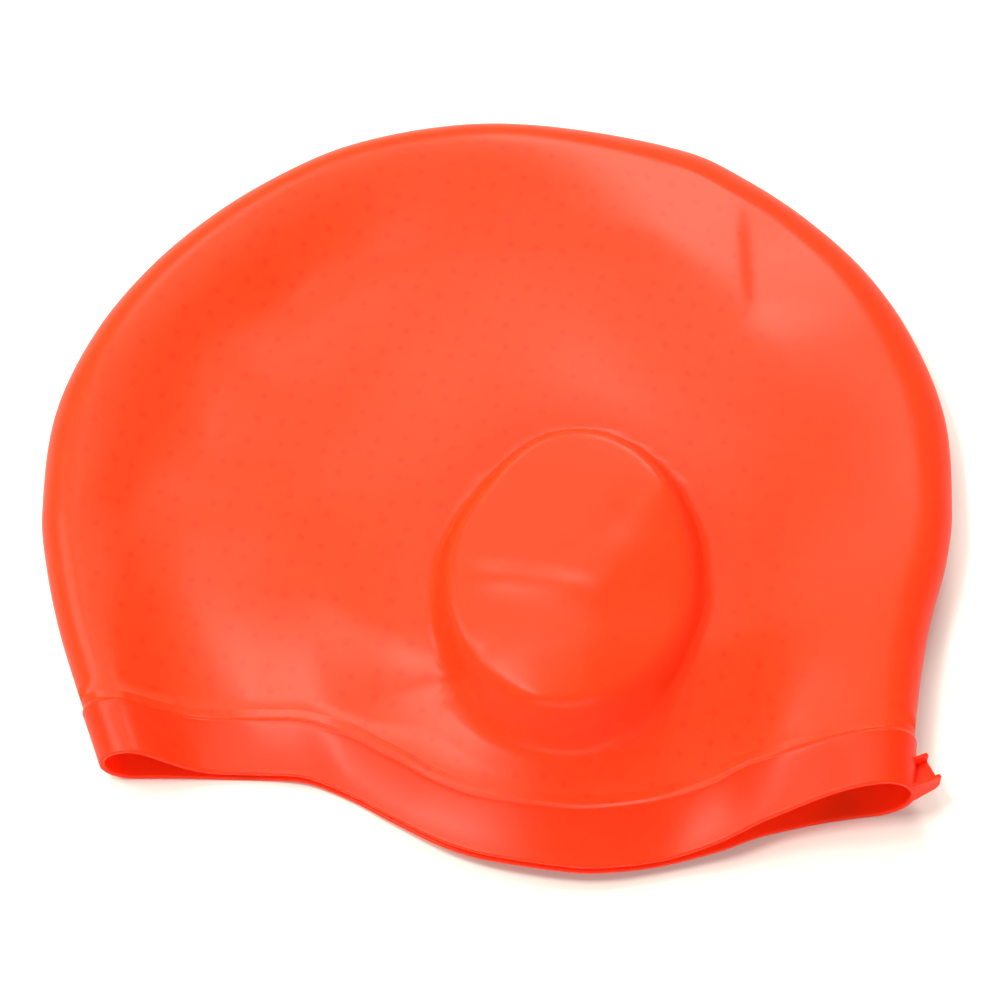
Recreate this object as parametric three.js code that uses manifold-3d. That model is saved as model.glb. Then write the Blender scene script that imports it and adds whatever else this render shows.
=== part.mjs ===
// Silicone swim cap with moulded ear pockets, lying folded flat on its side on a level surface.
// Millimetres. +X runs from the forehead to the nape, +Y from the mouth to the crown, +Z is up.
// The cap is one moulded piece: a thin shell with a thicker band round its mouth, an ear pocket on
// each side and a small ribbed pull tab at the nape end of the rim.

import * as THREE from 'three';
import { mergeVertices } from 'three/addons/utils/BufferGeometryUtils.js';
import Module from 'manifold-3d';

const wasm = await Module();
wasm.setup();

// Shell, measured on the cap as it lies folded flat
const CAP_LENGTH = 230; // forehead to nape
const CROWN_RISE = 186; // rim's forehead corner up to the crown
const EAR_DROP = 28; // how far the rim dips below that corner over the ears
const SHELL_WALL = 0.9;
const CROWN_FOLD = 20; // thickness of the folded cap along the crown
const FRONT_FOLD = 14.5; // the same at the forehead end of the mouth
const BACK_FOLD = 19; // the same at the nape end of the mouth
const CENTRE_SAG = 4; // how much thinner the folded cap is away from its folds
const SAG_REACH = { from: 1, to: 4.5 }; // distances from the fold over which it sags, in fold radii

// The upper wall towards the nape and the crown: it slopes up from its fold and sags farther in
const BACK_X = { from: -10, to: 50 };
const BACK_Y = { from: -30, to: 40 };
const BACK_SLOPE = 3; // how far it stands lower beside its fold
const BACK_SLOPE_REACH = { from: 0.9, to: 3.2 };
const BACK_SAG_REACH = { from: 3, to: 8 };
const FOLD_POWER = 2; // 2 rounds a fold to a circle, less makes it a narrower nose
const BACK_FOLD_POWER = 1.5;

// Mouth band
const BAND_WIDTH = 14;
const BAND_PROUD = 0.55; // how far the band stands out of the shell
const BAND_STEP = 0.8; // run of the step at the band's upper edge
const MOUTH_GAP = 1.5; // air between the two walls at the middle of the mouth
const FRONT_LOOP = 30; // length of the open loop at the forehead end of the mouth
const BACK_LOOP = 62; // the same at the nape end
const MOUTH_FADE = 50; // height above the rim at which the walls have parted again
const PINCH_START = { front: 0.25, back: 0.2 }; // share of a loop's length that is fully open
const WAVE_FADE = { from: 8, to: 80 }; // heights above the rim over which the mouth's waves end

// Ear pockets, one on each side
const POCKET_WIDTH = 68;
const POCKET_LENGTH = 87.5;
const POCKET_HEIGHT = 12.5;
const POCKET_RUN = 7; // plan width of the pocket's side wall, where it is widest
const POCKET_FRONT_RUN = 5.2; // the same at the opposite end, up towards the forehead
const POCKET_RUN_TURN = 35; // degrees from the nape's direction down to the widest place
const POCKET_FOOT = 0.07; // share of that width over which the side wall starts softly
const POCKET_DOME = 0.14; // share of the height that is the top's dome
const POCKET_LEAN = 0.16; // how much higher than its middle the pocket's nape side is, as a share
const POCKET_FLAT = 0.09; // how far its edge is drawn in up towards the forehead, as a share
const POCKET_FLAT_TURN = 142; // degrees from the nape's direction up to that place
const POCKET_FLAT_SPREAD = 28; // degrees
const POCKET_TILT = 5; // degrees, top towards the nape
const POCKET_PLACE = { x: 17, y: -30.2 };
const REST_LIFT = 5; // how far the flattened lower pocket holds its side of the cap up
const REST_REACH = { from: 0.9, to: 2.4 }; // distances over which that ends, in pocket sizes
const REST_GAP = 0.65; // how far the folds stay above the surface

// Pull tab: a web between two flanges
const TAB_REACH = 7.5; // beyond the fold
const TAB_WIDTH = 7.2; // over both flanges
const TAB_FLANGE = 0.9;
const TAB_WEB = 1.5;
const TAB_ROOT_HEIGHT = 10;
const TAB_TIP_HEIGHT = 6.6;
const TAB_CORNER = 2.2;
const TAB_TURN = 26; // degrees towards the crown
const TAB_SETBACK = 0.2; // the front flange stands this far behind the rim

// Mesh: columns from the forehead to the nape, and rings from the mouth to the crown. Those across
// the pocket are bent into closed rings round its middle.
const FOLD_STEPS = 4; // steps round each quarter of a fold
const FRONT_STEPS = 12; // columns between the forehead's fold and the pocket
const BACK_STEPS = 8; // columns between the pocket and the nape's fold
const LOW_STEPS = 2; // rings between the band and the pocket
const HIGH_STEPS = 10; // rings between the pocket and the crown's fold
const POCKET_RINGS = [0, 0.29, 0.54, 0.75, 0.84, 0.92, 1]; // sizes, as shares of the pocket's
const OUTER_RING = 0.12; // how much larger each bent ring outside the pocket is
const OUTER_STEPS = 4; // steps outside the pocket over which the rings straighten
const LINE_STEPS = 110; // steps along each half of the line of the folds
const CORNER_STEPS = 3;

const HALF_LENGTH = CAP_LENGTH / 2;
const CROWN_Y = 0.6135 * CROWN_RISE;
const CORNER_Y = CROWN_Y - CROWN_RISE;

// Side view of the folded cap. depth: share of CROWN_RISE below the crown.
// front, back: reach towards forehead and nape, as shares of half the cap's length.
// The last row only carries the sides on below the rim.
const SIDE_ROWS = [
  { depth: 0.0, front: -0.017, back: 0.017 },
  { depth: 0.04, front: 0.353, back: 0.432 },
  { depth: 0.09, front: 0.508, back: 0.572 },
  { depth: 0.16, front: 0.66, back: 0.709 },
  { depth: 0.25, front: 0.8, back: 0.836 },
  { depth: 0.36, front: 0.915, back: 0.931 },
  { depth: 0.49, front: 0.99, back: 0.99 },
  { depth: 0.64, front: 1.003, back: 0.99 },
  { depth: 0.72, front: 0.985, back: 0.968 },
  { depth: 0.81, front: 0.95, back: 0.925 },
  { depth: 0.9, front: 0.902, back: 0.895 },
  { depth: 1.0, front: 0.845, back: 0.873 },
  { depth: 1.2, front: 0.737, back: 0.86 },
].map((row) => ({ ...row, root: Math.sqrt(row.depth) }));

// Lower edge of the mouth. along: share of the way from the forehead end to the nape end.
// dip: share of EAR_DROP below the forehead corner.
const RIM_ROWS = [
  { along: 0.0, dip: 0.04 },
  { along: 0.12, dip: 0.045 },
  { along: 0.24, dip: 0.088 },
  { along: 0.3, dip: 0.246 },
  { along: 0.36, dip: 0.502 },
  { along: 0.42, dip: 0.743 },
  { along: 0.48, dip: 0.893 },
  { along: 0.58, dip: 1.0 },
  { along: 0.66, dip: 0.95 },
  { along: 0.76, dip: 0.78 },
  { along: 0.82, dip: 0.605 },
  { along: 0.88, dip: 0.485 },
  { along: 0.94, dip: 0.415 },
  { along: 1.0, dip: 0.375 },
];

// Waves that both walls share beside the mouth, from handling. rise: millimetres.
const WAVE_ROWS = [
  { along: 0.0, rise: 0.0 },
  { along: 0.12, rise: 0.0 },
  { along: 0.19, rise: -0.2 },
  { along: 0.25, rise: 0.5 },
  { along: 0.31, rise: -0.3 },
  { along: 0.42, rise: 0.7 },
  { along: 0.54, rise: 1.8 },
  { along: 0.62, rise: 0.5 },
  { along: 0.685, rise: -0.4 },
  { along: 0.775, rise: 0.8 },
  { along: 0.85, rise: -0.4 },
  { along: 0.96, rise: 0.0 },
  { along: 1.0, rise: 0.0 },
];

const { lerp, smoothstep, degToRad } = THREE.MathUtils;
const ramp = (value, { from, to }) => smoothstep(value, from, to);

// Value of a column at a place between rows, on a smooth curve through all of them
function readTable(rows, key, column, at) {
  const last = rows.length - 1;
  let i = 0;
  while (i < last - 1 && at > rows[i + 1][key]) i += 1;
  const span = rows[i + 1][key] - rows[i][key];
  const t = Math.min(1, Math.max(0, (at - rows[i][key]) / span));
  const slope = (k) => {
    const before = rows[Math.max(0, k - 1)];
    const after = rows[Math.min(last, k + 1)];
    return ((after[column] - before[column]) / (after[key] - before[key])) * span;
  };
  const start = rows[i][column];
  const end = rows[i + 1][column];
  const bend = t * t * (3 - 2 * t);
  return lerp(start, end, bend) + slope(i) * t * (1 - t) * (1 - t) - slope(i + 1) * t * t * (1 - t);
}

const sideRoot = (y) => Math.sqrt(Math.max(0, CROWN_Y - y) / CROWN_RISE);
const frontX = (y) => -HALF_LENGTH * readTable(SIDE_ROWS, 'root', 'front', sideRoot(y));
const backX = (y) => HALF_LENGTH * readTable(SIDE_ROWS, 'root', 'back', sideRoot(y));
const rimY = (along) => CORNER_Y - EAR_DROP * readTable(RIM_ROWS, 'along', 'dip', along);

// Closed line of the folds in plan, from below the forehead corner over the crown to the nape
function foldLine(steps) {
  const lowest = SIDE_ROWS[SIDE_ROWS.length - 1].root;
  const points = [];
  for (let i = -steps; i <= steps; i += 1) {
    const root = (Math.abs(i) / steps) * lowest;
    const side = i < 0 ? 'front' : 'back';
    const reach = HALF_LENGTH * readTable(SIDE_ROWS, 'root', side, root);
    points.push(new THREE.Vector2(i < 0 ? -reach : reach, CROWN_Y - CROWN_RISE * root * root));
  }
  return points;
}
const FOLD_LINE = foldLine(LINE_STEPS);

function distanceToFold(x, y) {
  let nearest = Infinity;
  for (let i = 1; i < FOLD_LINE.length; i += 1) {
    const a = FOLD_LINE[i - 1];
    const b = FOLD_LINE[i];
    const dx = b.x - a.x;
    const dy = b.y - a.y;
    const t = Math.min(1, Math.max(0, ((x - a.x) * dx + (y - a.y) * dy) / (dx * dx + dy * dy)));
    nearest = Math.min(nearest, Math.hypot(x - a.x - t * dx, y - a.y - t * dy));
  }
  return nearest;
}

function foldRadius(x, y) {
  const across = smoothstep(x, -HALF_LENGTH, HALF_LENGTH);
  const down = smoothstep(CROWN_Y - y, 0.3 * CROWN_RISE, CROWN_RISE);
  return lerp(CROWN_FOLD, lerp(FRONT_FOLD, BACK_FOLD, across), down) / 2;
}

// A place in the pocket's own directions, as shares of its half width and half length
function pocketFrame(x, y) {
  const turn = degToRad(POCKET_TILT);
  const dx = x - POCKET_PLACE.x;
  const dy = y - POCKET_PLACE.y;
  return {
    wide: (dx * Math.cos(turn) - dy * Math.sin(turn)) / (POCKET_WIDTH / 2),
    tall: (dx * Math.sin(turn) + dy * Math.cos(turn)) / (POCKET_LENGTH / 2),
  };
}

// Distance from the pocket's middle, 1 on its edge
function pocketRadius(x, y) {
  const { wide, tall } = pocketFrame(x, y);
  const turn = Math.atan2(tall, wide) - degToRad(POCKET_FLAT_TURN);
  const off = Math.atan2(Math.sin(turn), Math.cos(turn)) / degToRad(POCKET_FLAT_SPREAD);
  return Math.hypot(wide, tall) * (1 + POCKET_FLAT * Math.exp(-off * off));
}

// Height of the pocket above its wall: a steep side and a gently domed top
function pocketHeight(x, y) {
  const { wide, tall } = pocketFrame(x, y);
  const radius = pocketRadius(x, y);
  if (radius >= 1) return 0;
  const facing = 0.5 + 0.5 * Math.cos(Math.atan2(tall, wide) + degToRad(POCKET_RUN_TURN));
  const run = lerp(POCKET_FRONT_RUN, POCKET_RUN, facing) / (POCKET_WIDTH / 2);
  const share = Math.min(1, (1 - radius) / run);
  const side = Math.sin(((Math.PI / 2) * share * share * (1 + POCKET_FOOT)) / (share + POCKET_FOOT));
  const top = (1 - POCKET_DOME) * side + POCKET_DOME * (1 - radius * radius);
  return POCKET_HEIGHT * top * (1 + POCKET_LEAN * wide);
}

// How far the walls are parted at a place, 0 on the folds and 1 inside them
function opening(edge, back) {
  const inset = Math.max(0, 1 - edge);
  const power = lerp(FOLD_POWER, BACK_FOLD_POWER, back);
  return (1 - inset ** power) ** (1 / power);
}

// How far the walls are pinched together beside the mouth, between its two open loops
function pinching(x, y, rim) {
  const front = smoothstep(x - frontX(y), PINCH_START.front * FRONT_LOOP, FRONT_LOOP);
  const back = smoothstep(backX(y) - x, PINCH_START.back * BACK_LOOP, BACK_LOOP);
  return front * back * (1 - smoothstep(y - rim, 0, MOUTH_FADE));
}

// Height of one wall of the folded cap: side is 1 for the upper wall and -1 for the lower one
function wallZ({ x, y, along }, side) {
  const rim = rimY(along);
  const radius = foldRadius(x, y);
  const edge = distanceToFold(x, y) / radius;
  const back = ramp(x, BACK_X) * ramp(y, BACK_Y);
  const open = opening(edge, back);

  const lift = REST_LIFT * (1 - ramp(pocketRadius(x, y), REST_REACH));
  const wave = readTable(WAVE_ROWS, 'along', 'rise', along) * open * (1 - ramp(y - rim, WAVE_FADE));
  const bottom = REST_GAP + lift + radius * (1 - open) + wave;
  if (side < 0) return Math.max(0, bottom - pocketHeight(x, y));

  const sag = CENTRE_SAG * lerp(ramp(edge, SAG_REACH), ramp(edge, BACK_SAG_REACH), back);
  const { from, to } = BACK_SLOPE_REACH;
  const beside = Math.min(1, Math.max(0, (to - edge) / (to - from)));
  const sagged = 2 * radius - sag - BACK_SLOPE * back * beside * beside;
  const thickness = lerp(sagged, MOUTH_GAP + 2 * SHELL_WALL, pinching(x, y, rim));
  return bottom + open * thickness + pocketHeight(x, y);
}

const POCKET_STEPS = POCKET_RINGS.length - 1;
const ACROSS_STEPS = FRONT_STEPS + 2 * POCKET_STEPS + BACK_STEPS;
const COLUMN_ROWS = [
  { step: 0, share: 0 },
  { step: FRONT_STEPS, share: 0.5 + (POCKET_PLACE.x - POCKET_WIDTH / 2) / CAP_LENGTH },
  { step: ACROSS_STEPS - BACK_STEPS, share: 0.5 + (POCKET_PLACE.x + POCKET_WIDTH / 2) / CAP_LENGTH },
  { step: ACROSS_STEPS, share: 1 },
];

// Plan places of one ring of the shell, from the forehead fold to the nape fold.
// heightOf(along) gives the ring's y at each share of the way.
function ringPlan(heightOf) {
  const ends = [
    { y: heightOf(0), x: frontX(heightOf(0)), inward: 1 },
    { y: heightOf(1), x: backX(heightOf(1)), inward: -1 },
  ];
  const width = ends[1].x - ends[0].x;
  for (const end of ends) {
    const reach = end.inward > 0 ? frontX : backX;
    const slant = (reach(end.y + 1) - reach(end.y - 1)) / 2;
    end.fold = Math.min(foldRadius(end.x, end.y) * Math.hypot(1, slant), 0.25 * width);
  }
  const steps = ACROSS_STEPS + 2 * FOLD_STEPS;
  const places = [];
  for (let i = 0; i <= steps; i += 1) {
    let x;
    if (i < FOLD_STEPS) {
      x = ends[0].x + ends[0].fold * (1 - Math.cos((i / FOLD_STEPS) * (Math.PI / 2)));
    } else if (i > steps - FOLD_STEPS) {
      x = ends[1].x - ends[1].fold * (1 - Math.cos(((steps - i) / FOLD_STEPS) * (Math.PI / 2)));
    } else {
      const share = readTable(COLUMN_ROWS, 'step', 'share', i - FOLD_STEPS);
      x = lerp(ends[0].x + ends[0].fold, ends[1].x - ends[1].fold, share);
    }
    const along = (x - ends[0].x) / width;
    places.push({ x, y: heightOf(along), along });
  }
  return places;
}

// Direction round a square whose half side is the larger of the two numbers, in radians
function squareTurn(across, up) {
  if (Math.abs(across) >= Math.abs(up)) {
    return (across < 0 ? Math.PI : 0) + (Math.PI / 4) * (up / across);
  }
  return (up < 0 ? -Math.PI / 2 : Math.PI / 2) - (Math.PI / 4) * (across / up);
}

// A place on the oval of a size, as a share of the pocket's, in a direction from its middle
function onOval(size, direction) {
  const turn = degToRad(POCKET_TILT);
  const wide = Math.cos(direction) * (POCKET_WIDTH / 2);
  const tall = Math.sin(direction) * (POCKET_LENGTH / 2);
  const dx = wide * Math.cos(turn) + tall * Math.sin(turn);
  const dy = tall * Math.cos(turn) - wide * Math.sin(turn);
  const scale = size / pocketRadius(POCKET_PLACE.x + dx, POCKET_PLACE.y + dy);
  return { x: POCKET_PLACE.x + scale * dx, y: POCKET_PLACE.y + scale * dy };
}

// Moves a place onto the rings round the pocket, and less so outside it. across and up count the
// mesh steps from the pocket's middle.
function bendRoundPocket(place, across, up) {
  const steps = Math.max(Math.abs(across), Math.abs(up));
  const beyond = steps - POCKET_STEPS;
  const below = (-up - POCKET_STEPS) / LOW_STEPS;
  const straight = smoothstep(Math.max(beyond / OUTER_STEPS, below), 0, 1);
  if (straight >= 1) return;
  const size = beyond > 0 ? 1 + beyond * OUTER_RING : POCKET_RINGS[steps];
  const oval = steps > 0 ? onOval(size, squareTurn(across, up)) : POCKET_PLACE;
  const x = lerp(oval.x, place.x, straight);
  place.along += (x - place.x) / CAP_LENGTH;
  place.x = x;
  place.y = lerp(oval.y, place.y, straight);
}

// Height of a line that runs beside the rim at a constant distance from it
function besideRim(along, distance) {
  const reach = 0.01;
  const chord = frontX(CORNER_Y) - backX(CORNER_Y);
  const slope = (rimY(along + reach) - rimY(along - reach)) / (2 * reach * chord);
  return rimY(along) + distance * Math.hypot(1, slope);
}

const onWall = (place, side) => new THREE.Vector3(place.x, place.y, wallZ(place, side));

// Rings of the shell's outer face without the band, from the rim up to the crown's last ring
function shellRings() {
  const bandTop = BAND_WIDTH + BAND_STEP / 2;
  const rings = [0, BAND_WIDTH / 2, BAND_WIDTH - BAND_STEP / 2].map((distance) => ({
    proud: BAND_PROUD,
    plan: ringPlan((along) => besideRim(along, distance)),
  }));
  const bandRings = rings.length;
  const middleFall = CROWN_Y - besideRim(0.5, bandTop);
  const crownShare = CROWN_FOLD / 2 / middleFall;
  const bodySteps = LOW_STEPS + 2 * POCKET_STEPS + HIGH_STEPS;
  const shareRows = [
    { step: 0, share: 1 },
    { step: LOW_STEPS, share: (CROWN_Y - POCKET_PLACE.y + POCKET_LENGTH / 2) / middleFall },
    { step: bodySteps - HIGH_STEPS, share: (CROWN_Y - POCKET_PLACE.y - POCKET_LENGTH / 2) / middleFall },
    { step: bodySteps, share: crownShare },
  ];
  const shares = [];
  for (let i = 0; i <= bodySteps; i += 1) shares.push(readTable(shareRows, 'step', 'share', i));
  for (let i = FOLD_STEPS - 1; i > 0; i -= 1) {
    shares.push(crownShare * (1 - Math.cos((i / FOLD_STEPS) * (Math.PI / 2))));
  }
  for (const share of shares) {
    const heightOf = (along) => CROWN_Y - share * (CROWN_Y - besideRim(along, bandTop));
    rings.push({ proud: 0, plan: ringPlan(heightOf) });
  }
  const middleColumn = FOLD_STEPS + FRONT_STEPS + POCKET_STEPS;
  const middleRing = bandRings + LOW_STEPS + POCKET_STEPS;
  rings.forEach((ring, k) => {
    ring.plan.forEach((place, i) => bendRoundPocket(place, i - middleColumn, k - middleRing));
    const upper = ring.plan.map((place) => onWall(place, 1));
    const lower = ring.plan.map((place) => onWall(place, -1));
    ring.points = [...upper, ...lower.slice(1, -1).reverse()];
  });
  return rings;
}

// Triangles between neighbouring rings, split across the shorter way, and from the last ring to
// the crown's point
function shellFaces(skin, ringCount, ringSize) {
  const faces = [];
  for (let k = 0; k < ringCount - 1; k += 1) {
    for (let i = 0; i < ringSize; i += 1) {
      const a = k * ringSize + i;
      const b = k * ringSize + ((i + 1) % ringSize);
      const [c, d] = [b + ringSize, a + ringSize];
      if (skin[a].distanceTo(skin[c]) < skin[b].distanceTo(skin[d])) faces.push([a, b, c], [a, c, d]);
      else faces.push([a, b, d], [b, c, d]);
    }
  }
  const last = (ringCount - 1) * ringSize;
  for (let i = 0; i < ringSize; i += 1) {
    faces.push([last + i, last + ((i + 1) % ringSize), ringCount * ringSize]);
  }
  return faces;
}

function vertexNormals(points, faces) {
  const normals = points.map(() => new THREE.Vector3());
  for (const [a, b, c] of faces) {
    const ab = points[b].clone().sub(points[a]);
    const normal = ab.cross(points[c].clone().sub(points[a]));
    for (const corner of [a, b, c]) normals[corner].add(normal);
  }
  return normals.map((normal) => normal.normalize());
}

function meshGeometry(points, faces) {
  const geometry = new THREE.BufferGeometry();
  const places = points.flatMap((point) => point.toArray());
  geometry.setAttribute('position', new THREE.Float32BufferAttribute(places, 3));
  geometry.setIndex(faces.flat());
  return geometry;
}

// The shell as one closed surface, from the rings of its outer face
function shellGeometry(skin, faces, normals, ringSize, proud) {
  const outer = skin.map((point, i) => point.clone().addScaledVector(normals[i], proud(i)));
  outer.forEach((point) => {
    point.z = Math.max(0, point.z);
  });
  const inner = skin.map((point, i) => point.clone().addScaledVector(normals[i], -SHELL_WALL));
  const shift = skin.length;
  const allFaces = [...faces, ...faces.map(([a, b, c]) => [a + shift, c + shift, b + shift])];
  for (let i = 0; i < ringSize; i += 1) {
    const next = (i + 1) % ringSize;
    allFaces.push([next, i, i + shift], [next, i + shift, next + shift]);
  }
  return meshGeometry([...outer, ...inner], allFaces);
}

// The space inside the shell up to the middle of its wall, run on past the mouth
function spaceGeometry(skin, faces, normals, ringSize) {
  const points = skin.map((point, i) => point.clone().addScaledVector(normals[i], -SHELL_WALL / 2));
  const allFaces = [...faces];
  for (let i = 0; i < ringSize; i += 1) points[i].y -= BAND_WIDTH / 2;
  for (let i = 0; i < ringSize / 2; i += 1) {
    const low = (ringSize - i) % ringSize;
    const nextLow = ringSize - i - 1;
    allFaces.push([i + 1, i, low], [i + 1, low, nextLow]);
  }
  return meshGeometry(points, allFaces.filter(([a, b, c]) => a !== b && b !== c && a !== c));
}

function buildShell() {
  const rings = shellRings();
  const ringSize = rings[0].points.length;
  const crown = onWall({ x: backX(CROWN_Y), y: CROWN_Y, along: 0.5 }, 1);
  const skin = [...rings.flatMap((ring) => ring.points), crown];
  const faces = shellFaces(skin, rings.length, ringSize);
  const normals = vertexNormals(skin, faces);
  const proud = (i) => rings[Math.min(Math.floor(i / ringSize), rings.length - 1)].proud;
  return {
    shell: shellGeometry(skin, faces, normals, ringSize, proud),
    space: spaceGeometry(skin, faces, normals, ringSize),
  };
}

function toManifold(geometry) {
  const bare = geometry.clone();
  bare.deleteAttribute('normal');
  bare.deleteAttribute('uv');
  const merged = mergeVertices(bare, 1e-5);
  const mesh = new wasm.Mesh({
    numProp: 3,
    vertProperties: new Float32Array(merged.attributes.position.array),
    triVerts: new Uint32Array(merged.index.array),
  });
  return new wasm.Manifold(mesh);
}

function fromManifold(solid) {
  const mesh = solid.getMesh();
  const geometry = new THREE.BufferGeometry();
  geometry.setAttribute('position', new THREE.BufferAttribute(new Float32Array(mesh.vertProperties), 3));
  geometry.setIndex(new THREE.BufferAttribute(new Uint32Array(mesh.triVerts), 1));
  geometry.computeVertexNormals();
  return geometry;
}

// Pull tab at the nape end of the rim. Its frame has +X outwards, +Y across the tab and +Z up, with
// its origin on the fold, at the rim.
function buildTab() {
  const overlap = BACK_FOLD / 2;
  const root = TAB_ROOT_HEIGHT / 2;
  const tip = TAB_TIP_HEIGHT / 2;
  const outline = new THREE.Shape();
  outline.moveTo(-overlap, -root);
  outline.lineTo(0, -root);
  outline.lineTo(TAB_REACH - TAB_CORNER, -tip);
  outline.quadraticCurveTo(TAB_REACH, -tip, TAB_REACH, TAB_CORNER - tip);
  outline.lineTo(TAB_REACH, tip);
  outline.lineTo(0, root);
  outline.lineTo(-overlap, root);
  const flange = new THREE.ExtrudeGeometry(outline, {
    depth: TAB_FLANGE,
    bevelEnabled: false,
    curveSegments: CORNER_STEPS,
  });
  flange.rotateX(Math.PI / 2);
  const front = flange.clone().translate(0, TAB_SETBACK + TAB_FLANGE, 0);
  const rear = flange.clone().translate(0, TAB_SETBACK + TAB_WIDTH, 0);
  const webLength = overlap + TAB_REACH - TAB_FLANGE / 2;
  const web = new THREE.BoxGeometry(webLength, TAB_WIDTH - TAB_FLANGE, TAB_WEB);
  web.translate(webLength / 2 - overlap, TAB_SETBACK + TAB_WIDTH / 2, 0);
  const whole = fromManifold(toManifold(front).add(toManifold(rear)).add(toManifold(web)));
  const [x, y] = [backX(rimY(1)), rimY(1)];
  whole.rotateZ(degToRad(TAB_TURN));
  whole.translate(x, y, REST_GAP + foldRadius(x, y));
  return whole;
}

const { shell, space } = buildShell();
const tab = toManifold(buildTab()).subtract(toManifold(space));
const cap = toManifold(shell).add(tab);

const silicone = new THREE.MeshStandardMaterial({ color: 0xff5a36, roughness: 0.5, metalness: 0 });

const capMesh = new THREE.Mesh(fromManifold(cap), silicone);
capMesh.name = 'cap';
const centre = new THREE.Box3().setFromObject(capMesh).getCenter(new THREE.Vector3());
capMesh.position.set(-centre.x, -centre.y, 0);

const swimCap = new THREE.Group();
swimCap.add(capMesh);

export default swimCap;
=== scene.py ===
"""A silicone swim cap with ear pockets, lying folded flat on its side on a pale floor."""

import math

import bpy
import numpy as np
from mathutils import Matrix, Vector


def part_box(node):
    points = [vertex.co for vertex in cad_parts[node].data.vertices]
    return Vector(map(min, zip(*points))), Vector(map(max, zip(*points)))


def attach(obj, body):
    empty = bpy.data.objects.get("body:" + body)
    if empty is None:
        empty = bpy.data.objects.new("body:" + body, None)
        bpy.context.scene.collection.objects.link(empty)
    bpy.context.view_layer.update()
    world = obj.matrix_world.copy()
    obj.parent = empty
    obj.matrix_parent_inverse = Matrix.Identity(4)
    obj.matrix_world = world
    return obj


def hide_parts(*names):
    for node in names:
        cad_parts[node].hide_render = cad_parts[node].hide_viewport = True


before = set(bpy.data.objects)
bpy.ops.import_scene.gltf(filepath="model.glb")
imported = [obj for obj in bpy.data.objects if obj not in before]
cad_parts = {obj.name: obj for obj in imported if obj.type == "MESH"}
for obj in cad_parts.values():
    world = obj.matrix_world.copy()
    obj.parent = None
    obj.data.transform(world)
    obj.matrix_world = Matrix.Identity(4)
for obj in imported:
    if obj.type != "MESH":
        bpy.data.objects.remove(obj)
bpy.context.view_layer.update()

MM = 0.001

# Shell, in millimetres, as in the solid model
CAP_LENGTH = 230.0
CROWN_RISE = 186.0
CROWN_SHARE = 0.6135
EAR_DROP = 28.0
SHELL_WALL = 0.9
CENTRE_SAG = 4.0

# Folds: their heights, how far down the crown's one reaches as shares of CROWN_RISE, and the powers
# of the curves that close them
CROWN_FOLD = 20.0
FRONT_FOLD = 14.5
BACK_FOLD = 19.0
FOLD_CHANGE = (0.3, 1.0)
FOLD_POWER = 2.0
BACK_FOLD_POWER = 1.5
FOLD_LIMIT = 0.25

# The upper wall's way down from the fold, in fold radii, and the fuller part towards the nape
SAG_REACH = (1, 4.5)
BACK_SAG_REACH = (3, 8)
BACK_X = (-10, 50)
BACK_Y = (-30, 40)
BACK_SLOPE = 1.15
BACK_SLOPE_REACH = 3.5
BACK_SLOPE_TOP = 0.8
BACK_SLOPE_EASE = 0.15

# Mouth band
BAND_WIDTH = 14.0
BAND_PROUD = 0.55
BAND_STEP = 1.3
BAND_LIP = 0.07
BAND_LIP_INSET = 0.7
BAND_LIP_WIDTH = 0.55
MOUTH_GAP = 1.5
FRONT_LOOP = 30.0
FRONT_LOOP_START = 0.25
BACK_LOOP = 62.0
BACK_LOOP_START = 0.2
MOUTH_FADE = 50.0
WAVE_FADE = (8, 80)
RIM_NOSE = 0.45
RIM_POWER = 0.6

# Ear pockets
POCKET_WIDTH = 68.0
POCKET_LENGTH = 87.5
POCKET_HEIGHT = 12.5
POCKET_RUN = 7.0
POCKET_FRONT_RUN = 5.2
POCKET_RUN_TURN = math.radians(35)
POCKET_FOOT = 0.07
POCKET_DOME = 0.14
POCKET_LEAN = 0.16
POCKET_FLAT = 0.09
POCKET_FLAT_TURN = math.radians(142)
POCKET_FLAT_SPREAD = math.radians(28)
POCKET_TILT = math.radians(5)
POCKET_X, POCKET_Y = 17.0, -30.2
REST_LIFT = 5.0
REST_REACH = (0.9, 2.4)
REST_GAP = 0.65

# Creased top of the upper pocket: a ridge, a facet that falls towards the nape, and dents
RIDGE_START, RIDGE_END = (-5, -32.8), (22, -38.6)
RIDGE_HEIGHT = 1.0
RIDGE_WIDTH = 3.8
RIDGE_FADE = 2.2
FACET_X, FACET_Y = 21.5, -39.8
FACET_FALL = 0.228
FACET_EASE = 3.324
FACET_TURN = 0.6
FACET_TURN_EASE = 12
DENT_ROWS = [
    {"x": 31.4, "y": -18.3, "rise": -0.7, "wide": 5.0, "tall": 7.0},
    {"x": 9.0, "y": -67.6, "rise": 0.9, "wide": 6.5, "tall": 3.6},
]

# Valley inside the forehead's fold, in fold radii, and the groove near the nape
VALLEY_DEPTH = 2.9
VALLEY_FALL = (1.0, 3.4)
VALLEY_RISE = (3.2, 10)
VALLEY_X = (5, 60)
GROOVE_DEPTH = 0.6
GROOVE_X = ((61.5, 66), (67, 95))
GROOVE_Y = ((40, 56), (72, 92))

# Pull tab
TAB_REACH = 7.5
TAB_WIDTH = 7.2
TAB_FLANGE = 0.9
TAB_WEB = 1.5
TAB_ROOT_HEIGHT = 10.0
TAB_TIP_HEIGHT = 6.6
TAB_CORNER = 2.2
TAB_CHAMFER = 0.4
TAB_ROUND = 0.22
TAB_ROUND_ANGLE = math.radians(35)
TAB_TURN = math.radians(26)
TAB_SETBACK = 0.2
TAB_ROOT = 0.3

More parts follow.
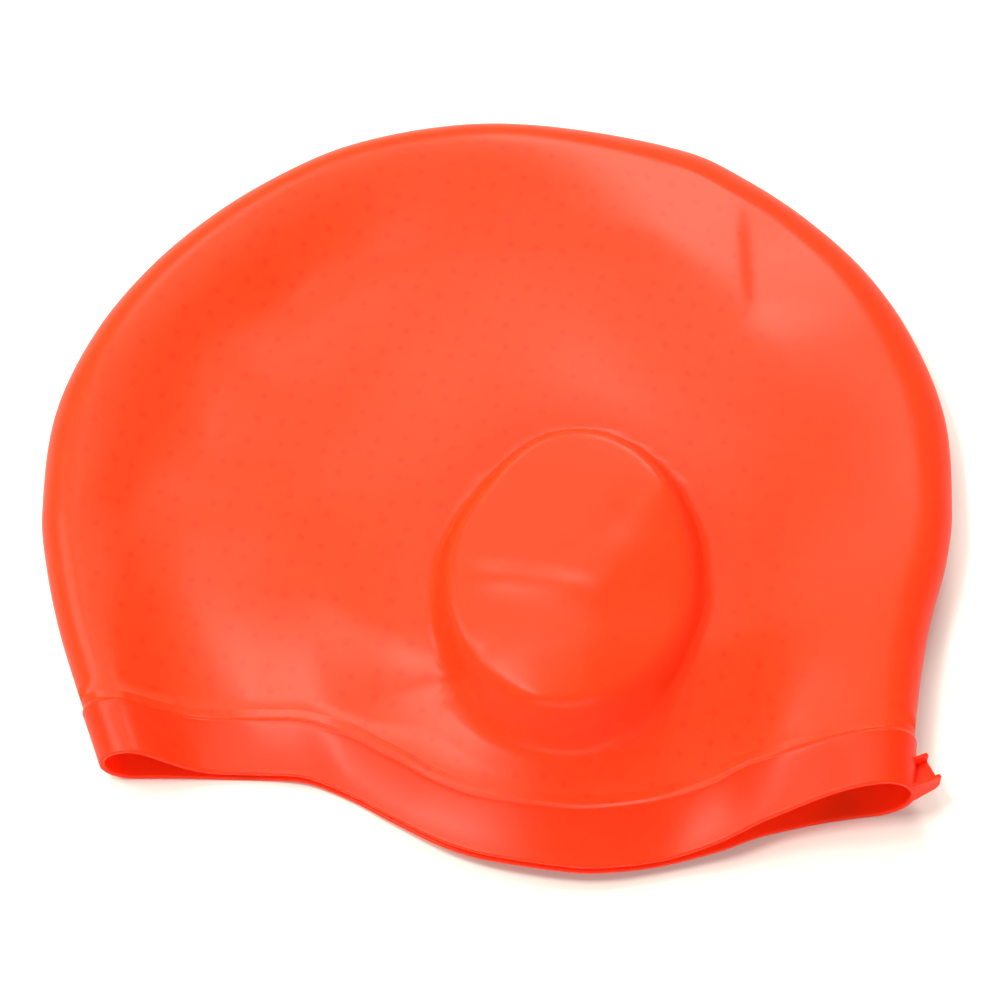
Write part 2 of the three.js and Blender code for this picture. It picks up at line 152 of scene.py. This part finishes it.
# Dots of the moulded nubs: their distance and turn, sizes as shares of the distance, and where
# they fade, in millimetres from the folds, in pocket radii and across
DOT_PITCH = 6.5
DOT_TURN = math.radians(12)
DOT_SIZE = (0.03, 0.18)
DOT_UNEVEN = 0.5
DOT_FOLD = (5, 14)
DOT_POCKET = (1.02, 1.2)
DOT_X = (55, 90)

# Mesh: counts of steps, the rings of the band, and how mesh lines gather, as (spread, pull)
FOLD_STEPS = 12
ACROSS_STEPS = 130
BODY_STEPS = 114
CROWN_STEPS = 12
NOSE_STEPS = 7
BAND_RINGS = [0, 0.5, 1.2, 2.2, 3.6, 5.2, 7, 8.8, 10.4, 11.6, 12.4]
STEP_RINGS_START = 12.8
STEP_RING = 0.2
ACROSS_GATHER = (0.2, 0.2)
BODY_GATHER = (0.22, 0.15)
OVAL_GATHER = (0.3, 0.3)
OVAL_FADE = (1.03, 1.5)
OVAL_START = 0.7 * BAND_WIDTH

# Looks: colours as red, green and blue
SHELL_COLOUR = (1.0, 0.0495, 0.0090, 1)
# Painted shade: the band's colour is darker than the shell's and stands in for the shade on the band,
# the rim and the pull tab.
BAND_SHADE_COLOUR = (1.0, 0.036, 0.0062, 1)
DOT_COLOUR = (1.0, 0.027, 0.0045, 1)
THROUGH_COLOUR = (1.0, 0.18, 0.045, 1)
THROUGH_SHARE = 0.35
FLOOR_COLOUR = (0.70, 0.655, 0.63, 1)
FLOOR_SIZE = 8
LIGHT_COLOUR = (1.0, 0.97, 0.88)
SKY_COLOUR = (1, 1, 1, 1)
SKY_STRENGTH = 0.35

# Lights: place and sides in metres, power in watts
LIGHTS = [
    {"name": "key", "place": (-1.0, 0.15, 0.95), "sides": (0.6, 0.6), "power": 14},
    {"name": "top", "place": (-0.5, -0.05, 1.28), "sides": (0.26, 0.2), "power": 12.5},
    {"name": "sky", "place": (-0.26, 0.38, 1.42), "sides": (0.24, 0.2), "power": 3},
    {"name": "front", "place": (0.1, -1.3, 0.7), "sides": (1.6, 0.5), "power": 14},
    {"name": "panel", "place": (0, 0.75, 1.25), "sides": (1.1, 0.8), "power": 5},
    {"name": "slot", "place": (-0.4, 0.95, 0.86), "sides": (0.35, 0.16), "power": 5},
    {"name": "back", "place": (0.25, 1.1, 1.0), "sides": (0.5, 0.3), "power": 15},
]

# Camera
CAMERA_ELEVATION = math.radians(60)
CAMERA_DISTANCE = 0.9
CAMERA_TARGET = (0.0005, -0.0071, 0.010)
CAMERA_LENS = 128.3
CAMERA_SENSOR = 36

HALF_LENGTH = CAP_LENGTH / 2
CROWN_Y = CROWN_SHARE * CROWN_RISE
CORNER_Y = CROWN_Y - CROWN_RISE
BAND_TOP = BAND_WIDTH + 2 * BAND_STEP

# Side view: depth below the crown as a share of CROWN_RISE, reach to forehead and nape as shares
# of half the length
SIDE_ROWS = [
    {"depth": 0.0, "front": -0.017, "back": 0.017},
    {"depth": 0.04, "front": 0.353, "back": 0.432},
    {"depth": 0.09, "front": 0.508, "back": 0.572},
    {"depth": 0.16, "front": 0.66, "back": 0.709},
    {"depth": 0.25, "front": 0.8, "back": 0.836},
    {"depth": 0.36, "front": 0.915, "back": 0.931},
    {"depth": 0.49, "front": 0.99, "back": 0.99},
    {"depth": 0.64, "front": 1.003, "back": 0.99},
    {"depth": 0.72, "front": 0.985, "back": 0.968},
    {"depth": 0.81, "front": 0.95, "back": 0.925},
    {"depth": 0.9, "front": 0.902, "back": 0.895},
    {"depth": 1.0, "front": 0.845, "back": 0.873},
    {"depth": 1.2, "front": 0.737, "back": 0.86},
]
for row in SIDE_ROWS:
    row["root"] = math.sqrt(row["depth"])

# Lower edge of the mouth: share of the way from forehead to nape, and dip as a share of EAR_DROP
RIM_ROWS = [
    {"along": 0.0, "dip": 0.04},
    {"along": 0.12, "dip": 0.045},
    {"along": 0.24, "dip": 0.088},
    {"along": 0.3, "dip": 0.246},
    {"along": 0.36, "dip": 0.502},
    {"along": 0.42, "dip": 0.743},
    {"along": 0.48, "dip": 0.893},
    {"along": 0.58, "dip": 1.0},
    {"along": 0.66, "dip": 0.95},
    {"along": 0.76, "dip": 0.78},
    {"along": 0.82, "dip": 0.605},
    {"along": 0.88, "dip": 0.485},
    {"along": 0.94, "dip": 0.415},
    {"along": 1.0, "dip": 0.375},
]

# Waves of both walls beside the mouth: share of the way from forehead to nape, rise in mm
MOUTH_ROWS = [
    {"along": 0.0, "rise": 0.0},
    {"along": 0.12, "rise": 0.0},
    {"along": 0.19, "rise": -0.2},
    {"along": 0.25, "rise": 0.5},
    {"along": 0.31, "rise": -0.3},
    {"along": 0.42, "rise": 0.7},
    {"along": 0.54, "rise": 1.8},
    {"along": 0.62, "rise": 0.5},
    {"along": 0.685, "rise": -0.4},
    {"along": 0.775, "rise": 0.8},
    {"along": 0.85, "rise": -0.4},
    {"along": 0.96, "rise": 0.0},
    {"along": 1.0, "rise": 0.0},
]


def lerp(a, b, t):
    return a + (b - a) * t


def smoothstep(x, low, high):
    t = np.clip((np.asarray(x, float) - low) / (high - low), 0, 1)
    return t * t * (3 - 2 * t)


def between(x, rise, fall):
    """1 between two ranges in which it goes up from 0 and down again."""
    return smoothstep(x, *rise) * (1 - smoothstep(x, *fall))


def soft_ramp(x, ease):
    """0 far below 0 and x far above it, with a soft corner."""
    return 0.5 * (x + np.sqrt(x**2 + ease))


def read_table(rows, key, column, at):
    """Value of a column between rows, on a smooth curve through all of them."""
    keys = np.array([row[key] for row in rows])
    values = np.array([row[column] for row in rows])
    before = np.maximum(np.arange(len(rows)) - 1, 0)
    after = np.minimum(np.arange(len(rows)) + 1, len(rows) - 1)
    slopes = (values[after] - values[before]) / (keys[after] - keys[before])
    at = np.asarray(at, float)
    i = np.clip(np.searchsorted(keys, at, side="left") - 1, 0, len(rows) - 2)
    span = keys[i + 1] - keys[i]
    t = np.clip((at - keys[i]) / span, 0, 1)
    bend = t * t * (3 - 2 * t)
    rise = slopes[i] * t * (1 - t) ** 2 - slopes[i + 1] * t * t * (1 - t)
    return lerp(values[i], values[i + 1], bend) + span * rise


def gather(value, centre, spread, pull):
    """Draws values together around a centre, so that more mesh lines fall there."""
    off = value - centre
    return value - pull * off * np.exp(-((off / spread) ** 2))


def side_root(y):
    return np.sqrt(np.maximum(0, CROWN_Y - np.asarray(y, float)) / CROWN_RISE)


def front_x(y):
    return -HALF_LENGTH * read_table(SIDE_ROWS, "root", "front", side_root(y))


def back_x(y):
    return HALF_LENGTH * read_table(SIDE_ROWS, "root", "back", side_root(y))


def rim_y(along):
    return CORNER_Y - EAR_DROP * read_table(RIM_ROWS, "along", "dip", along)


def fold_line(steps=160):
    """Line of the folds in plan, from below the forehead corner over the crown to the nape."""
    root = np.linspace(-SIDE_ROWS[-1]["root"], SIDE_ROWS[-1]["root"], 2 * steps + 1)
    reach = np.where(
        root < 0,
        -read_table(SIDE_ROWS, "root", "front", np.abs(root)),
        read_table(SIDE_ROWS, "root", "back", np.abs(root)),
    )
    return np.stack([HALF_LENGTH * reach, CROWN_Y - CROWN_RISE * root * root], axis=-1)


FOLD_LINE = fold_line()


def distance_to_fold(x, y):
    start, step = FOLD_LINE[:-1], np.diff(FOLD_LINE, axis=0)
    nearest = np.full(x.shape, np.inf)
    for (ax, ay), (dx, dy) in zip(start, step):
        t = np.clip(((x - ax) * dx + (y - ay) * dy) / (dx * dx + dy * dy), 0, 1)
        nearest = np.minimum(nearest, (x - ax - t * dx) ** 2 + (y - ay - t * dy) ** 2)
    return np.sqrt(nearest)


def fold_radius(x, y):
    across = smoothstep(x, -HALF_LENGTH, HALF_LENGTH)
    low, high = FOLD_CHANGE
    down = smoothstep(CROWN_Y - y, low * CROWN_RISE, high * CROWN_RISE)
    return lerp(CROWN_FOLD, lerp(FRONT_FOLD, BACK_FOLD, across), down) / 2


def pocket_frame(x, y):
    """A place in the pocket's own directions, as shares of its half width and half length."""
    dx, dy = x - POCKET_X, y - POCKET_Y
    wide = (dx * math.cos(POCKET_TILT) - dy * math.sin(POCKET_TILT)) / (POCKET_WIDTH / 2)
    tall = (dx * math.sin(POCKET_TILT) + dy * math.cos(POCKET_TILT)) / (POCKET_LENGTH / 2)
    return wide, tall


def pocket_radius(x, y):
    """Distance from the pocket's middle, 1 on its edge, which is flatter up towards the forehead."""
    wide, tall = pocket_frame(x, y)
    off = np.angle(np.exp(1j * (np.arctan2(tall, wide) - POCKET_FLAT_TURN)))
    flat = POCKET_FLAT * np.exp(-((off / POCKET_FLAT_SPREAD) ** 2))
    return np.hypot(wide, tall) * (1 + flat)


def crease(x, y, start, end, width):
    """A soft ridge of height 1 along a line between two places, with fading ends."""
    length = math.dist(start, end)
    ux, uy = (end[0] - start[0]) / length, (end[1] - start[1]) / length
    along = (x - start[0]) * ux + (y - start[1]) * uy
    across = (y - start[1]) * ux - (x - start[0]) * uy
    soft = RIDGE_FADE * width
    fade = between(along, (-soft, soft), (length - soft, length + soft))
    return np.exp(-((across / width) ** 2)) * fade


def top_relief(x, y):
    """Creases from handling on the top of the pocket: its ridge, facet and dents."""
    corner = FACET_X + FACET_TURN * soft_ramp(y - FACET_Y, FACET_TURN_EASE)
    ridge = RIDGE_HEIGHT * crease(x, y, RIDGE_START, RIDGE_END, RIDGE_WIDTH)
    relief = ridge - FACET_FALL * soft_ramp(x - corner, FACET_EASE)
    for dent in DENT_ROWS:
        across, up = (x - dent["x"]) / dent["wide"], (y - dent["y"]) / dent["tall"]
        relief = relief + dent["rise"] * np.exp(-(across**2) - up**2)
    return relief


def pocket_height(x, y):
    """Height of the pocket above its wall: a steep side and a domed, creased top."""
    wide, tall = pocket_frame(x, y)
    radius = pocket_radius(x, y)
    facing = 0.5 + 0.5 * np.cos(np.arctan2(tall, wide) + POCKET_RUN_TURN)
    run = lerp(POCKET_FRONT_RUN, POCKET_RUN, facing) / (POCKET_WIDTH / 2)
    share = np.clip((1 - radius) / run, 0, 1)
    side = np.sin(math.pi / 2 * share**2 * (1 + POCKET_FOOT) / (share + POCKET_FOOT))
    dome = lerp(side, 1 - radius**2, POCKET_DOME)
    height = POCKET_HEIGHT * dome * (1 + POCKET_LEAN * wide)
    return np.where(radius < 1, height + top_relief(x, y) * side**2, 0)


def wall_relief(x, y, edge, radius):
    """Dents of the upper wall: a wandering valley inside the forehead's fold, and a groove."""
    wander = 0.14 * np.sin(y / 7.5 + 0.6 * np.sin(y / 17)) + 0.1 * np.sin(x / 6 + y / 11)
    reach = edge / radius - wander
    valley = VALLEY_DEPTH * (1 + wander) * between(reach, VALLEY_FALL, VALLEY_RISE)
    groove = GROOVE_DEPTH * between(x, *GROOVE_X) * between(y, *GROOVE_Y)
    return -smoothstep(-x, *VALLEY_X) * valley - groove


def mouth_pinch(x, y, rim):
    """1 where the walls lie close together beside the mouth, between its two loops."""
    from_front, from_back = x - front_x(y), back_x(y) - x
    pinch = smoothstep(from_front, FRONT_LOOP_START * FRONT_LOOP, FRONT_LOOP)
    pinch = pinch * smoothstep(from_back, BACK_LOOP_START * BACK_LOOP, BACK_LOOP)
    return pinch * (1 - smoothstep(y - rim, 0, MOUTH_FADE))


def wall_z(x, y, along, side):
    """Height of one wall of the folded cap: side is 1 for the upper wall and -1 for the lower."""
    rim = rim_y(along)
    radius = fold_radius(x, y)
    edge = distance_to_fold(x, y)
    back = smoothstep(x, *BACK_X) * smoothstep(y, *BACK_Y)
    power = lerp(FOLD_POWER, BACK_FOLD_POWER, back)
    is_open = (1 - np.maximum(0, 1 - edge / radius) ** power) ** (1 / power)
    sag = lerp(smoothstep(edge / radius, *SAG_REACH), smoothstep(edge / radius, *BACK_SAG_REACH), back)
    beside = BACK_SLOPE_REACH - np.maximum(edge / radius, BACK_SLOPE_TOP)
    shoulder = BACK_SLOPE * back * soft_ramp(beside, BACK_SLOPE_EASE)
    sagged = 2 * radius - CENTRE_SAG * sag - shoulder + wall_relief(x, y, edge, radius) * is_open
    thickness = lerp(sagged, MOUTH_GAP + 2 * SHELL_WALL, mouth_pinch(x, y, rim))
    lift = REST_LIFT * (1 - smoothstep(pocket_radius(x, y), *REST_REACH))
    bottom = REST_GAP + lift + radius * (1 - is_open)
    fade = 1 - smoothstep(y - rim, *WAVE_FADE)
    wave = read_table(MOUTH_ROWS, "along", "rise", along) * is_open * fade
    if side < 0:
        return np.maximum(0, bottom + wave - pocket_height(x, y))
    return bottom + is_open * thickness + wave + pocket_height(x, y)


def beside_rim(along, distance):
    """Height of a line that runs beside the rim at a constant distance from it."""
    reach = 0.01
    chord = front_x(CORNER_Y) - back_x(CORNER_Y)
    slope = (rim_y(along + reach) - rim_y(along - reach)) / (2 * reach * chord)
    return rim_y(along) + distance * np.hypot(1, slope)


def ring_plan(height_of):
    """Plan places of one ring, from the forehead fold to the nape fold."""
    ends = []
    for along, reach in ((0.0, front_x), (1.0, back_x)):
        y = float(height_of(along))
        slant = float(reach(y + 1) - reach(y - 1)) / 2
        ends.append((float(reach(y)), y, slant))
    (x0, y0, slant0), (x1, y1, slant1) = ends
    width = x1 - x0
    fold0 = min(float(fold_radius(x0, y0)) * math.hypot(1, slant0), FOLD_LIMIT * width)
    fold1 = min(float(fold_radius(x1, y1)) * math.hypot(1, slant1), FOLD_LIMIT * width)
    turn = np.linspace(0, math.pi / 2, FOLD_STEPS + 1)[:-1]
    share = np.linspace(0, 1, ACROSS_STEPS + 1)
    share = gather(share, 0.5 + POCKET_X / CAP_LENGTH, *ACROSS_GATHER)
    x = np.concatenate([
        x0 + fold0 * (1 - np.cos(turn)),
        lerp(x0 + fold0, x1 - fold1, share),
        (x1 - fold1 * (1 - np.cos(turn)))[::-1],
    ])
    along = (x - x0) / width
    return x, height_of(along), along


def bend_round_pocket(x, y, rise):
    """Bends mesh lines near the pocket into ovals along its edge, above the band only."""
    wide, tall = pocket_frame(x, y)
    radius = np.maximum(pocket_radius(x, y), 1e-6)
    square = np.maximum(np.abs(wide), np.abs(tall))
    oval = gather(square, 1 - POCKET_RUN / POCKET_WIDTH, *OVAL_GATHER)
    bent = lerp(oval / radius, 1, smoothstep(square, *OVAL_FADE))
    scale = lerp(1, bent, smoothstep(rise, 0, OVAL_START))
    return POCKET_X + (x - POCKET_X) * scale, POCKET_Y + (y - POCKET_Y) * scale


def band_relief(distance):
    """How far the band stands out of the shell at a distance from the rim, with its upper lip."""
    step = smoothstep(BAND_WIDTH + BAND_STEP / 2 - distance, 0, BAND_STEP)
    lip = np.exp(-(((distance - BAND_WIDTH + BAND_LIP_INSET) / BAND_LIP_WIDTH) ** 2))
    return BAND_PROUD * step + BAND_LIP * lip


def shell_rings():
    """Plan, height and relief of every ring, from the rim to the last one below the crown."""
    plans, relief = [], []
    for distance in np.concatenate([BAND_RINGS, np.arange(STEP_RINGS_START, BAND_TOP, STEP_RING)]):
        plans.append(ring_plan(lambda along, d=distance: beside_rim(along, d)))
        relief.append(float(band_relief(distance)))
    middle_fall = CROWN_Y - float(beside_rim(0.5, BAND_TOP))
    crown_share = CROWN_FOLD / 2 / middle_fall
    shares = lerp(1, crown_share, np.linspace(0, 1, BODY_STEPS + 1))
    shares = gather(shares, (CROWN_Y - POCKET_Y) / middle_fall, *BODY_GATHER)
    shares[0] = 1
    turn = np.linspace(math.pi / 2, 0, CROWN_STEPS + 1)[1:-1]
    for share in np.concatenate([shares, crown_share * (1 - np.cos(turn))]):
        plans.append(ring_plan(lambda a, s=share: CROWN_Y - s * (CROWN_Y - beside_rim(a, BAND_TOP))))
        relief.append(0.0)
    x = np.array([plan[0] for plan in plans])
    y = np.array([plan[1] for plan in plans])
    along = np.array([plan[2] for plan in plans])
    x, y = bend_round_pocket(x, y, y - beside_rim(along, BAND_TOP))
    return x, y, along, np.array(relief)


def nub_mask(x, y):
    """Where the moulded nubs show as dots: away from the folds, the pocket and the nape."""
    inside = smoothstep(distance_to_fold(x, y), *DOT_FOLD)
    beside = smoothstep(pocket_radius(x, y), *DOT_POCKET)
    return inside * beside * (1 - smoothstep(x, *DOT_X))


def vertex_normals(points, faces):
    """Unit normals at the vertices, from the quads and triangles around them."""
    normals = np.zeros_like(points)
    for face_list in faces:
        corner = points[face_list]
        normal = np.cross(corner[:, 2] - corner[:, 0], corner[:, -1] - corner[:, 1])
        if face_list.shape[1] == 3:
            normal = np.cross(corner[:, 1] - corner[:, 0], corner[:, 2] - corner[:, 0])
        for k in range(face_list.shape[1]):
            np.add.at(normals, face_list[:, k], normal)
    return normals / np.linalg.norm(normals, axis=1)[:, None]


def skin_faces(rings, size):
    """Quads between the rings of one skin, and the fan of triangles that closes it at the crown."""
    ring, place = np.meshgrid(np.arange(rings - 1), np.arange(size), indexing="ij")
    a = ring * size + place
    b = ring * size + (place + 1) % size
    quads = np.stack([a, b, b + size, a + size], axis=-1).reshape(-1, 4)
    last = (rings - 1) * size + np.arange(size)
    fan = np.stack([last, np.roll(last, -1), np.full(size, rings * size)], axis=-1)
    return quads, fan


def rim_nose(points, normals, size):
    """Strips of points on the rim: half an oval round it, from the outer skin to the inner one."""
    edge = slice(0, size)
    outward = points[edge] - points[size : 2 * size]
    outward = outward / np.linalg.norm(outward, axis=1)[:, None]
    half = (BAND_PROUD + SHELL_WALL) / 2
    middle = points[edge] + normals[edge] * (BAND_PROUD - half)
    nose = []
    for turn in np.linspace(0, math.pi, NOSE_STEPS + 1)[1:-1]:
        across = half * math.copysign(abs(math.cos(turn)) ** RIM_POWER, math.cos(turn))
        ahead = RIM_NOSE * math.sin(turn) ** RIM_POWER
        nose.append(middle + normals[edge] * across + outward * ahead)
    return nose


def build_shell():
    """Points and faces of the closed shell: outer skin, inner skin and rounded rim, how much each
    point gets the band's painted shade, and how much it belongs to the dotted wall."""
    x, y, along, relief = shell_rings()
    upper = np.stack([x, y, wall_z(x, y, along, 1)], axis=-1)
    lower = np.stack([x, y, wall_z(x, y, along, -1)], axis=-1)
    skin = np.concatenate([upper, lower[:, -2:0:-1]], axis=1)
    rings, size = skin.shape[:2]
    crown = [float(back_x(CROWN_Y)), CROWN_Y, REST_GAP + CROWN_FOLD / 2]
    points = np.concatenate([skin.reshape(-1, 3), [crown]])
    quads, fan = skin_faces(rings, size)
    normals = vertex_normals(points, (quads, fan))
    proud = np.append(np.repeat(relief, size), 0)
    outer = points + normals * proud[:, None]
    outer[:, 2] = np.maximum(outer[:, 2], 0)
    inner = points - normals * SHELL_WALL
    nose = rim_nose(points, normals, size)
    count = len(points)
    place = np.arange(size)
    strips = [place, *(2 * count + k * size + place for k in range(len(nose))), count + place]
    rim_quads = [
        np.stack([np.roll(p, -1), p, q, np.roll(q, -1)], axis=-1) for p, q in zip(strips, strips[1:])
    ]
    all_points = np.concatenate([outer, inner, *nose])
    all_quads = np.concatenate([quads, quads[:, ::-1] + count, *rim_quads])
    all_fans = np.concatenate([fan, fan[:, ::-1] + count])
    band = np.clip(proud / BAND_PROUD, 0, 1)
    nubs = nub_mask(points[:, 0], points[:, 1]) * (1 - band)
    nubs = np.concatenate([nubs, np.zeros(count + len(nose) * size)])
    # Painted shade: the band and the rim's nose take the darker band colour, and the inner skin does
    # not.
    band_shade = np.concatenate([band, np.zeros(count), np.ones(len(nose) * size)])
    return all_points, all_quads.tolist() + all_fans.tolist(), band_shade, nubs


def tab_bar(outline, low, high):
    """Points and faces of a bar with an outline of (x, z) pairs, from y = low to y = high."""
    count = len(outline)
    points = [(x, low, z) for x, z in outline] + [(x, high, z) for x, z in outline]
    faces = [list(range(count)), list(range(2 * count - 1, count - 1, -1))]
    for i in range(count):
        j = (i + 1) % count
        faces.append([j, i, i + count, j + count])
    return points, faces


def root_line(half_height, steps=8):
    """Inner end of a bar of the tab, just inside the round wall of the nape's fold."""
    radius = BACK_FOLD / 2
    heights = np.linspace(half_height, -half_height, steps + 1)
    return [(math.sqrt(radius**2 - z**2) - radius - TAB_ROOT, z) for z in heights]


def tab_bars():
    """Two flanges with a web between them, in the tab's own frame: +X outwards, +Y across."""
    root, tip = TAB_ROOT_HEIGHT / 2, TAB_TIP_HEIGHT / 2
    lower = []
    for turn in np.linspace(0, math.pi / 2, 7):
        x = TAB_REACH - TAB_CORNER * (1 - math.sin(turn))
        lower.append((x, -tip + TAB_CORNER * (1 - math.cos(turn))))
    upper = [(TAB_REACH, tip - TAB_CHAMFER), (TAB_REACH - TAB_CHAMFER, tip)]
    flange = root_line(root) + lower + upper
    reach = TAB_REACH - TAB_FLANGE / 2
    web = root_line(TAB_WEB / 2, 2) + [(reach, -TAB_WEB / 2), (reach, TAB_WEB / 2)]
    near, far = TAB_SETBACK, TAB_SETBACK + TAB_WIDTH
    return [
        tab_bar(flange, near, near + TAB_FLANGE),
        tab_bar(flange, far - TAB_FLANGE, far),
        tab_bar(web, near + TAB_FLANGE / 2, far - TAB_FLANGE / 2),
    ]


def build_tab():
    """Points and faces of the pull tab at the nape end of the rim, in the shell's frame."""
    y0 = float(rim_y(1.0))
    x0 = float(back_x(y0))
    z0 = REST_GAP + float(fold_radius(np.array(x0), np.array(y0)))
    points, faces = [], []
    for bar_points, bar_faces in tab_bars():
        faces += [[i + len(points) for i in face] for face in bar_faces]
        points += bar_points
    bar = np.array(points)
    cos, sin = math.cos(TAB_TURN), math.sin(TAB_TURN)
    x = x0 + bar[:, 0] * cos - bar[:, 1] * sin
    y = y0 + bar[:, 0] * sin + bar[:, 1] * cos
    return np.stack([x, y, z0 + bar[:, 2]], axis=-1), faces


def soften_edges(obj):
    bevel = obj.modifiers.new("soft_edges", "BEVEL")
    bevel.width = TAB_ROUND * MM
    bevel.segments = 3
    bevel.limit_method = "ANGLE"
    bevel.angle_limit = TAB_ROUND_ANGLE
    bevel.harden_normals = True


def add_mesh(name, points, faces):
    """A smooth mesh object from points in millimetres."""
    mesh = bpy.data.meshes.new(name)
    mesh.from_pydata((points * MM).tolist(), [], faces)
    mesh.validate()
    mesh.shade_smooth()
    obj = bpy.data.objects.new(name, mesh)
    bpy.context.scene.collection.objects.link(obj)
    return obj


def shift_to_frame(points):
    """The way from the shell's own frame to the one in which its box is over the solid's."""
    low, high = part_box("cap")
    middle = (np.array(low) + np.array(high)) / (2 * MM)
    own = (points.min(axis=0) + points.max(axis=0)) / 2
    return np.array([middle[0] - own[0], middle[1] - own[1], 0])


def add_attribute(obj, name, values):
    attribute = obj.data.attributes.new(name, "FLOAT", "POINT")
    attribute.data.foreach_set("value", np.asarray(values, dtype=np.float32))


def attribute_share(nodes, name):
    """The value of a mesh attribute, as a socket."""
    node = nodes.new("ShaderNodeAttribute")
    node.attribute_name = name
    return node.outputs["Fac"]


def add_dots(nodes, links, plain):
    """Darkens the colour at the moulded nubs: small soft dots in uneven rows."""
    place = nodes.new("ShaderNodeTexCoord")
    rows = nodes.new("ShaderNodeMapping")
    rows.inputs["Rotation"].default_value = (0, 0, DOT_TURN)
    rows.inputs["Scale"].default_value = [1 / (DOT_PITCH * MM)] * 3
    cells = nodes.new("ShaderNodeTexVoronoi")
    cells.voronoi_dimensions = "2D"
    cells.inputs["Scale"].default_value = 1.0
    cells.inputs["Randomness"].default_value = DOT_UNEVEN
    spot = nodes.new("ShaderNodeMapRange")
    spot.inputs["From Min"].default_value = DOT_SIZE[0]
    spot.inputs["From Max"].default_value = DOT_SIZE[1]
    spot.inputs["To Min"].default_value = 1.0
    spot.inputs["To Max"].default_value = 0.0
    share = nodes.new("ShaderNodeMath")
    share.operation = "MULTIPLY"
    dotted = nodes.new("ShaderNodeMix")
    dotted.data_type = "RGBA"
    dotted.inputs["B"].default_value = DOT_COLOUR
    links.new(place.outputs["Object"], rows.inputs["Vector"])
    links.new(rows.outputs["Vector"], cells.inputs["Vector"])
    links.new(cells.outputs["Distance"], spot.inputs["Value"])
    links.new(spot.outputs["Result"], share.inputs[0])
    links.new(attribute_share(nodes, "nubs"), share.inputs[1])
    links.new(share.outputs["Value"], dotted.inputs["Factor"])
    links.new(plain, dotted.inputs["A"])
    return dotted.outputs["Result"]


def silicone_material():
    """Translucent satin silicone, with painted shade: the band, the rim and the pull tab are coloured
    darker than the shell.
    """
    material = bpy.data.materials.new("silicone")
    material.use_nodes = True
    nodes, links = material.node_tree.nodes, material.node_tree.links
    colour = nodes.new("ShaderNodeMix")
    colour.data_type = "RGBA"
    colour.inputs["A"].default_value = SHELL_COLOUR
    colour.inputs["B"].default_value = BAND_SHADE_COLOUR
    # Painted shade: the darker band colour is mixed in on the band, the rim and the pull tab.
    links.new(attribute_share(nodes, "band_shade"), colour.inputs["Factor"])
    shader = nodes["Principled BSDF"]
    links.new(add_dots(nodes, links, colour.outputs["Result"]), shader.inputs["Base Color"])
    shader.inputs["Roughness"].default_value = 0.33
    shader.inputs["IOR"].default_value = 1.25
    shader.inputs["Subsurface Weight"].default_value = 0.5
    shader.inputs["Subsurface Radius"].default_value = (1.0, 0.25, 0.1)
    shader.inputs["Subsurface Scale"].default_value = 0.003
    through = nodes.new("ShaderNodeBsdfTranslucent")
    through.inputs["Color"].default_value = THROUGH_COLOUR
    blend = nodes.new("ShaderNodeMixShader")
    blend.inputs["Fac"].default_value = THROUGH_SHARE
    links.new(shader.outputs["BSDF"], blend.inputs[1])
    links.new(through.outputs["BSDF"], blend.inputs[2])
    links.new(blend.outputs["Shader"], nodes["Material Output"].inputs["Surface"])
    return material


def add_floor():
    bpy.ops.mesh.primitive_plane_add(size=FLOOR_SIZE)
    floor = bpy.context.object
    floor.name = "floor"
    material = bpy.data.materials.new("floor")
    material.use_nodes = True
    shader = material.node_tree.nodes["Principled BSDF"]
    shader.inputs["Base Color"].default_value = FLOOR_COLOUR
    shader.inputs["Roughness"].default_value = 0.7
    floor.data.materials.append(material)


def add_light(name, place, sides, power):
    """A rectangular light that faces the middle of the floor."""
    light = bpy.data.lights.new(name, "AREA")
    light.color = LIGHT_COLOUR
    light.energy = power
    light.shape = "RECTANGLE"
    light.size, light.size_y = sides
    obj = bpy.data.objects.new(name, light)
    obj.location = place
    obj.rotation_euler = (-Vector(place)).to_track_quat("-Z", "Y").to_euler()
    bpy.context.scene.collection.objects.link(obj)


def add_world():
    world = bpy.data.worlds.new("studio")
    world.use_nodes = True
    background = world.node_tree.nodes["Background"]
    background.inputs["Color"].default_value = SKY_COLOUR
    background.inputs["Strength"].default_value = SKY_STRENGTH
    bpy.context.scene.world = world


def add_camera():
    """The photograph's view: 60 degrees above the floor, from the mouth's side."""
    back = Vector((0, -math.cos(CAMERA_ELEVATION), math.sin(CAMERA_ELEVATION)))
    camera = bpy.data.cameras.new("camera")
    camera.lens = CAMERA_LENS
    camera.sensor_width = CAMERA_SENSOR
    obj = bpy.data.objects.new("camera", camera)
    obj.location = Vector(CAMERA_TARGET) + back * CAMERA_DISTANCE
    obj.rotation_euler = (-back).to_track_quat("-Z", "Y").to_euler()
    bpy.context.scene.collection.objects.link(obj)
    bpy.context.scene.camera = obj


points, faces, band_shade, nubs = build_shell()
shift = shift_to_frame(points)
cap = add_mesh("silicone_cap", points + shift, faces)
add_attribute(cap, "band_shade", band_shade)
add_attribute(cap, "nubs", nubs)

tab_points, tab_faces = build_tab()
tab = add_mesh("pull_tab", tab_points + shift, tab_faces)
# Painted shade: the whole pull tab takes the darker band colour.
add_attribute(tab, "band_shade", np.ones(len(tab_points)))
soften_edges(tab)

silicone = silicone_material()
for obj in (cap, tab):
    obj.data.materials.append(silicone)
    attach(obj, "root")
    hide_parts("cap")

add_floor()
add_world()
for light in LIGHTS:
    add_light(**light)
add_camera()
bpy.context.scene.view_settings.view_transform = "Standard"
